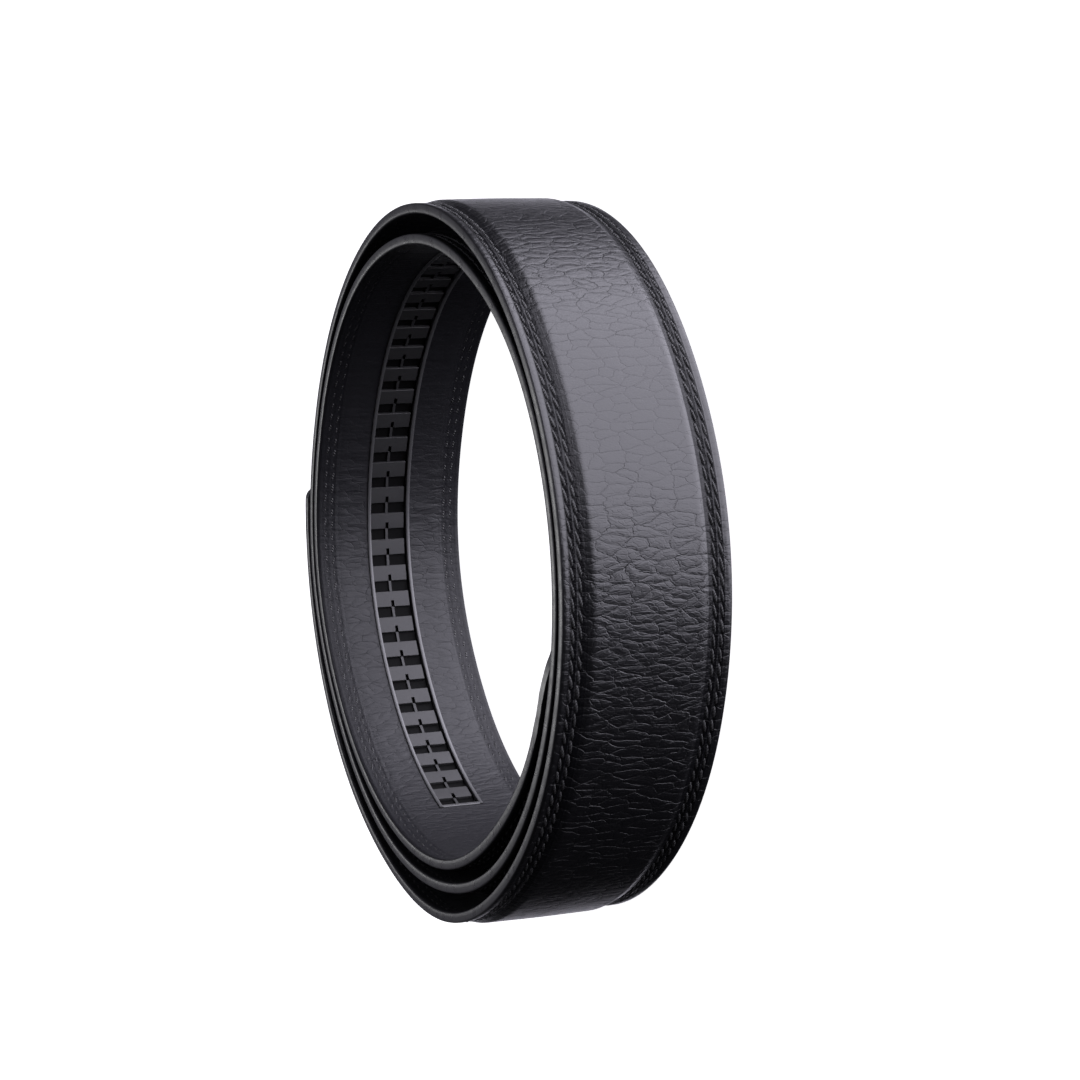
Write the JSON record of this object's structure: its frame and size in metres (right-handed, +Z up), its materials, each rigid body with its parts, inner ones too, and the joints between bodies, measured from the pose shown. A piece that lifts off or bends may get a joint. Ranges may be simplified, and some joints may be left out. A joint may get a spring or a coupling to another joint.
{
  "type": "ratchet belt strap",
  "caption": "Padded black leather belt strap with a toothed ratchet track set in its lining, rolled up into a coil that lies on its long edge.",
  "frame": {"origin": "under the middle of the coil, on the surface that it lies on", "axes": "+Z up along the coil's axis and across the strap's width, -Y towards the side that the picture is taken from, +X towards the picture's top"},
  "size_m": [0.1512, 0.1552, 0.035],
  "materials": {
    "outer_leather": "satin black leather with a pebbled grain and tone-on-tone stitching",
    "lining_leather": "matte black leather with a fine grain",
    "ratchet_track": "satin black moulded plastic"
  },
  "bodies": {
    "root": {"outer_leather": "outer_leather", "lining_leather": "lining_leather", "ratchet_track": "ratchet_track"}
  },
  "joints": []
}
